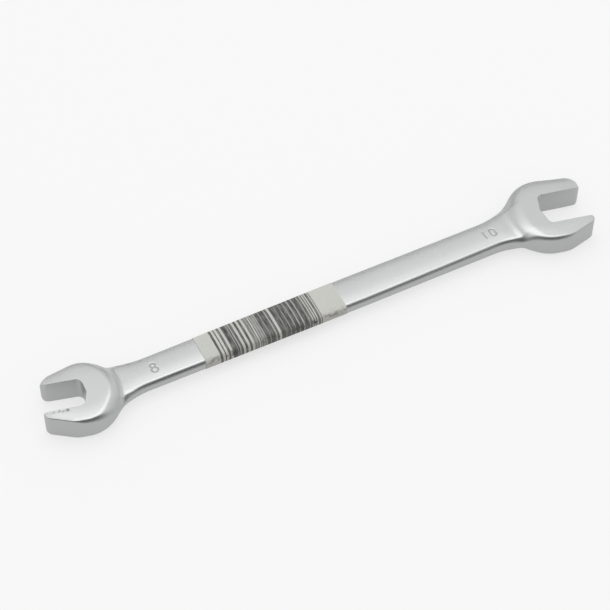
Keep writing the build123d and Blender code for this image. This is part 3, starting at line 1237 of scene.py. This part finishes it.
def printed_paper(label):
    """Uncoated label stock with bars printed on it by a thermal printer.

    The paper is pale, matt and slightly uneven. The ink is thin and streaky along the bars, so it lets
    some of the paper through, and it has smeared where the paper bends over the near edge. Its near
    side is darkened as painted shade.
    """
    material = new_material("printed_label_paper")
    tree = material.node_tree
    place = add_node(tree, "ShaderNodeTexCoord").outputs["Object"]
    bars = add_node(tree, "ShaderNodeAttribute", attribute_name="ink").outputs["Fac"]
    smear_and_shade = add_node(tree, "ShaderNodeAttribute", attribute_name="smeared_and_shaded").outputs["Fac"]
    # Paper fibres, drawn as flecks that are coarser than the real ones, so that they show
    fibre = add_node(
        tree, "ShaderNodeTexNoise", {"Vector": place, "Scale": 1 / (FIBRE_DRAWN * MM), "Detail": 4.0}
    )
    # Missed dots of the print head, drawn wider than the real ones and run out along the bars
    stretch = (STREAK_LENGTH / DOT_DRAWN, 1.0, 1.0)
    drawn_out = add_node(tree, "ShaderNodeVectorMath", {0: place, 1: stretch}, operation="MULTIPLY")
    streak = add_node(
        tree,
        "ShaderNodeTexNoise",
        {"Vector": drawn_out.outputs[0], "Scale": 1 / (STREAK_LENGTH * MM), "Detail": 2.0},
    )
    wear = add_node(
        tree,
        "ShaderNodeMapRange",
        {"Value": streak.outputs["Fac"], "From Min": 0.35, "From Max": 0.7, "To Min": 1.0, "To Max": 0.7},
    ).outputs["Result"]
    dark = add_node(tree, "ShaderNodeMath", {0: bars, 1: wear}, operation="MULTIPLY").outputs[0]
    smear = add_node(
        tree, "ShaderNodeMapRange", {"Value": smear_and_shade, "From Min": 0.4, "To Max": 0.85}
    ).outputs["Result"]
    cover = add_node(tree, "ShaderNodeMath", {0: dark, 1: smear}, operation="MAXIMUM").outputs[0]
    shaded = [channel * 0.86 for channel in label.paper]
    tint = add_node(
        tree,
        "ShaderNodeMix",
        {"Factor": fibre.outputs["Fac"], "A": (*label.paper, 1.0), "B": (*shaded, 1.0)},
        data_type="RGBA",
    )
    # Smears, specks and the near side's painted shade tint the paper towards one colour
    painted_shade = add_node(
        tree,
        "ShaderNodeMix",
        {"Factor": smear_and_shade, "A": tint.outputs["Result"], "B": (*label.smear_and_shade_tone, 1.0)},
        data_type="RGBA",
    )
    printed = add_node(
        tree,
        "ShaderNodeMix",
        {"Factor": cover, "A": painted_shade.outputs["Result"], "B": (*label.ink, 1.0)},
        data_type="RGBA",
    )
    bump = add_node(
        tree, "ShaderNodeBump", {"Height": fibre.outputs["Fac"], "Strength": 0.25, "Distance": 0.05 * MM}
    ).outputs["Normal"]
    shader = add_node(
        tree,
        "ShaderNodeBsdfPrincipled",
        {"Base Color": printed.outputs["Result"], "Roughness": 0.7, "Normal": bump},
    )
    add_node(tree, "ShaderNodeOutputMaterial", {"Surface": shader.outputs[0]})
    return material


# Operators


class WRENCH_OT_steel_body(bpy.types.Operator):
    """Build the steel body with its crowned faces, rounded edges, jaws and stamped numerals"""

    bl_idname = "wrench.steel_body"
    bl_label = "Steel body"

    def execute(self, context):
        scene = context.scene
        steel = scene.wrench_steel
        heads = Head(scene.wrench_small_head, steel, -1), Head(scene.wrench_large_head, steel, 1)
        points, faces, normals, dull_and_shaded = wrench_body_mesh(steel, heads)
        body = new_object("steel_body", points, faces, satin_chrome(steel))
        body.data.shade_smooth()
        body.data.normals_split_custom_set(normals.tolist())
        dull_and_shade_layer = body.data.attributes.new("dull_and_shaded", "FLOAT", "POINT")
        dull_and_shade_layer.data.foreach_set("value", dull_and_shaded)
        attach(body, "root")
        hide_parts("wrench_body")
        return {"FINISHED"}


class WRENCH_OT_paper_label(bpy.types.Operator):
    """Wind the printed paper label round the shank"""

    bl_idname = "wrench.paper_label"
    bl_label = "Paper label"

    def execute(self, context):
        scene = context.scene
        points, faces, inked, smear_and_shade = label_mesh(scene.wrench_steel, scene.wrench_label)
        label = new_object("paper_label", points, faces, printed_paper(scene.wrench_label))
        ink = label.data.attributes.new("ink", "FLOAT", "FACE")
        ink.data.foreach_set("value", inked)
        dirt = label.data.attributes.new("smeared_and_shaded", "FLOAT", "POINT")
        dirt.data.foreach_set("value", smear_and_shade)
        label.data.shade_smooth()
        label.data.set_sharp_from_angle(angle=radians(60))
        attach(label, "root")
        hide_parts("label_wrap")
        return {"FINISHED"}


# Stage

# The camera, mirrors and glass see the floor glow by this share, so that it renders as pale as it is painted
FLOOR_GLOW_SHARE = 0.7
# The world's light on the object, and its brightness where it is seen
FILL_STRENGTH = 0.95
BACKDROP = 0.94
# One large softbox over the object and behind it, its power in watts
LAMP_PLACE = (120, 185, 800)
LAMP_SIZE = (620, 600)
LAMP_POWER = 0.97
# Cloths that only the plating sees. Each has its azimuth, lowest and highest elevation and half turn in
# degrees, and the shares of light that it gives back along its foot, its middle and its top.
CLOTHS = (
    ("cloth_front", -105, 1, 80, 60, (0.45, 0.09, 0.7)),
    ("cloth_back", 70, 2, 36, 26, (0.78, 0.66, 0.85)),
)
CLOTH_DISTANCE = 780
CLOTH_ROWS = 9
CLOTH_COLUMNS = 13
SENSOR_WIDTH = 36
# Nearest and furthest that the camera sees
CAMERA_CLIP = (10, 20000)


def seen_directly(tree):
    """One for rays from the camera and for those that a mirror or glass sends on, and nought for light."""
    ray = add_node(tree, "ShaderNodeLightPath").outputs
    seen = ray["Is Camera Ray"]
    for kind in ("Is Glossy Ray", "Is Transmission Ray"):
        seen = add_node(tree, "ShaderNodeMath", {0: seen, 1: ray[kind]}, operation="MAXIMUM").outputs[0]
    return seen


class WRENCH_OT_stage(bpy.types.Operator):
    """Add the floor, the world, the lamp, the cloths and the camera"""

    bl_idname = "wrench.stage"
    bl_label = "Stage"

    def execute(self, context):
        settings = context.scene.wrench_stage
        self.add_floor(settings)
        self.add_world(context)
        self.add_lamp(context)
        for cloth in CLOTHS:
            self.add_cloth(*cloth)
        self.add_camera(context, settings)
        return {"FINISHED"}

    def add_floor(self, settings):
        """Lay the square floor, a matt painted board."""
        material = new_material("matt_painted_board")
        tree = material.node_tree
        paint_colour = (*settings.floor_colour, 1.0)
        paint = add_node(tree, "ShaderNodeBsdfDiffuse", {"Color": paint_colour})
        glow = add_node(tree, "ShaderNodeEmission", {"Color": paint_colour, "Strength": 1.0})
        seen = seen_directly(tree)
        shown = add_node(tree, "ShaderNodeMath", {0: seen, 1: FLOOR_GLOW_SHARE}, operation="MULTIPLY")
        mix = add_node(
            tree, "ShaderNodeMixShader", {0: shown.outputs[0], 1: paint.outputs[0], 2: glow.outputs[0]}
        )
        add_node(tree, "ShaderNodeOutputMaterial", {"Surface": mix.outputs[0]})
        half = in_mm(settings, "floor_size") / 2
        corners = [(x * half, y * half, 0) for x, y in ((-1, -1), (1, -1), (1, 1), (-1, 1))]
        new_object("floor", corners, [(0, 1, 2, 3)], material)

    def add_world(self, context):
        """Light the object evenly from all round, before a pale backdrop."""
        world = bpy.data.worlds.new("studio")
        world.use_nodes = True
        tree = world.node_tree
        tree.nodes.clear()
        fill = add_node(tree, "ShaderNodeBackground", {"Color": (1, 1, 1, 1), "Strength": FILL_STRENGTH})
        backdrop = (BACKDROP, BACKDROP, BACKDROP, 1)
        shown = add_node(tree, "ShaderNodeBackground", {"Color": backdrop, "Strength": 1.0})
        mix = add_node(
            tree, "ShaderNodeMixShader", {0: seen_directly(tree), 1: fill.outputs[0], 2: shown.outputs[0]}
        )
        add_node(tree, "ShaderNodeOutputWorld", {"Surface": mix.outputs[0]})
        context.scene.world = world

    def add_lamp(self, context):
        """Hang the softbox, turned towards the shank's line."""
        lamp = bpy.data.lights.new("softbox_over", "AREA")
        lamp.shape = "RECTANGLE"
        lamp.size, lamp.size_y = (side * MM for side in LAMP_SIZE)
        lamp.energy = LAMP_POWER
        place = Vector([value * MM for value in LAMP_PLACE])
        along = Vector((1, 0, 0))
        back = Vector((0, place.y, place.z)).normalized()
        turn = Matrix((along, back.cross(along), back)).transposed()
        holder = bpy.data.objects.new("softbox_over", lamp)
        holder.matrix_world = Matrix.Translation(place) @ turn.to_4x4()
        context.collection.objects.link(holder)

    def add_cloth(self, name, azimuth, low, high, half_turn, shades):
        """Hang a cloth on part of a sphere, to draw dark edge lines in the plating."""
        material = new_material(name)
        tree = material.node_tree
        place = add_node(tree, "ShaderNodeTexCoord").outputs["Generated"]
        height = add_node(tree, "ShaderNodeSeparateXYZ", {"Vector": place}).outputs["Z"]
        # The foot's shade fades out halfway up, and the top's comes in over the last seventh
        foot, middle, top = shades
        lower = add_node(
            tree,
            "ShaderNodeMapRange",
            {"Value": height, "From Min": 0.15, "From Max": 0.5, "To Min": foot, "To Max": middle},
        )
        upper = add_node(
            tree,
            "ShaderNodeMapRange",
            {"Value": height, "From Min": 0.86, "From Max": 1.0, "To Min": middle, "To Max": top},
        )
        shade = add_node(
            tree, "ShaderNodeMath", {0: lower.outputs[0], 1: upper.outputs[0]}, operation="MAXIMUM"
        )
        cloth = add_node(tree, "ShaderNodeBsdfDiffuse", {"Color": shade.outputs[0]})
        add_node(tree, "ShaderNodeOutputMaterial", {"Surface": cloth.outputs[0]})
        points, faces = [], []
        for column in range(CLOTH_COLUMNS):
            turn = radians(azimuth + half_turn * (2 * column / (CLOTH_COLUMNS - 1) - 1))
            for row in range(CLOTH_ROWS):
                tilt = radians(low + (high - low) * row / (CLOTH_ROWS - 1))
                way = (cos(tilt) * cos(turn), cos(tilt) * sin(turn), sin(tilt))
                points.append([value * CLOTH_DISTANCE for value in way])
        for column in range(CLOTH_COLUMNS - 1):
            for row in range(CLOTH_ROWS - 1):
                a = column * CLOTH_ROWS + row
                faces.append((a, a + CLOTH_ROWS, a + CLOTH_ROWS + 1, a + 1))
        card = new_object(name, points, faces, material)
        card.visible_camera = False
        card.visible_diffuse = False
        card.visible_shadow = False

    def add_camera(self, context, settings):
        """Set up the camera, and the view transform that leaves colours as they are written."""
        turn, elevation, roll = settings.camera_turn, settings.camera_elevation, settings.camera_roll
        ahead = Vector((cos(elevation) * sin(turn), cos(elevation) * cos(turn), -sin(elevation)))
        right = Vector((cos(turn), -sin(turn), 0))
        above = right.cross(ahead)
        leaned_right = right * cos(roll) + above * sin(roll)
        leaned_above = above * cos(roll) - right * sin(roll)
        data = bpy.data.cameras.new("camera")
        data.sensor_width = SENSOR_WIDTH
        data.lens = settings.lens
        data.clip_start, data.clip_end = (reach * MM for reach in CAMERA_CLIP)
        camera = bpy.data.objects.new("camera", data)
        place = Vector(settings.camera_aim) - ahead * settings.camera_distance
        turned = Matrix((leaned_right, leaned_above, -ahead)).transposed()
        camera.matrix_world = Matrix.Translation(place) @ turned.to_4x4()
        context.collection.objects.link(camera)
        context.scene.camera = camera
        context.scene.view_settings.view_transform = "Standard"


# Panel and registration


class WRENCH_PT_parts(bpy.types.Panel):
    """Lists the pieces that can be built"""

    bl_label = "Open-end wrench"
    bl_space_type = "VIEW_3D"
    bl_region_type = "UI"
    bl_category = "Wrench"

    def draw(self, context):
        for operator in OPERATORS:
            self.layout.operator(operator.bl_idname)


OPERATORS = (WRENCH_OT_steel_body, WRENCH_OT_paper_label, WRENCH_OT_stage)
SETTINGS = {
    "wrench_small_head": WrenchSmallHeadSettings,
    "wrench_large_head": WrenchLargeHeadSettings,
    "wrench_steel": WrenchSteelSettings,
    "wrench_label": WrenchLabelSettings,
    "wrench_stage": WrenchStageSettings,
}
CLASSES = (*SETTINGS.values(), *OPERATORS, WRENCH_PT_parts)


def register():
    for each in CLASSES:
        bpy.utils.register_class(each)
    for name, group in SETTINGS.items():
        setattr(bpy.types.Scene, name, bpy.props.PointerProperty(type=group))


def unregister():
    for name in SETTINGS:
        delattr(bpy.types.Scene, name)
    for each in reversed(CLASSES):
        bpy.utils.unregister_class(each)


def main():
    """Build every piece and the stage."""
    register()
    bpy.ops.wrench.steel_body()
    bpy.ops.wrench.paper_label()
    bpy.ops.wrench.stage()


if __name__ == "__main__":
    main()
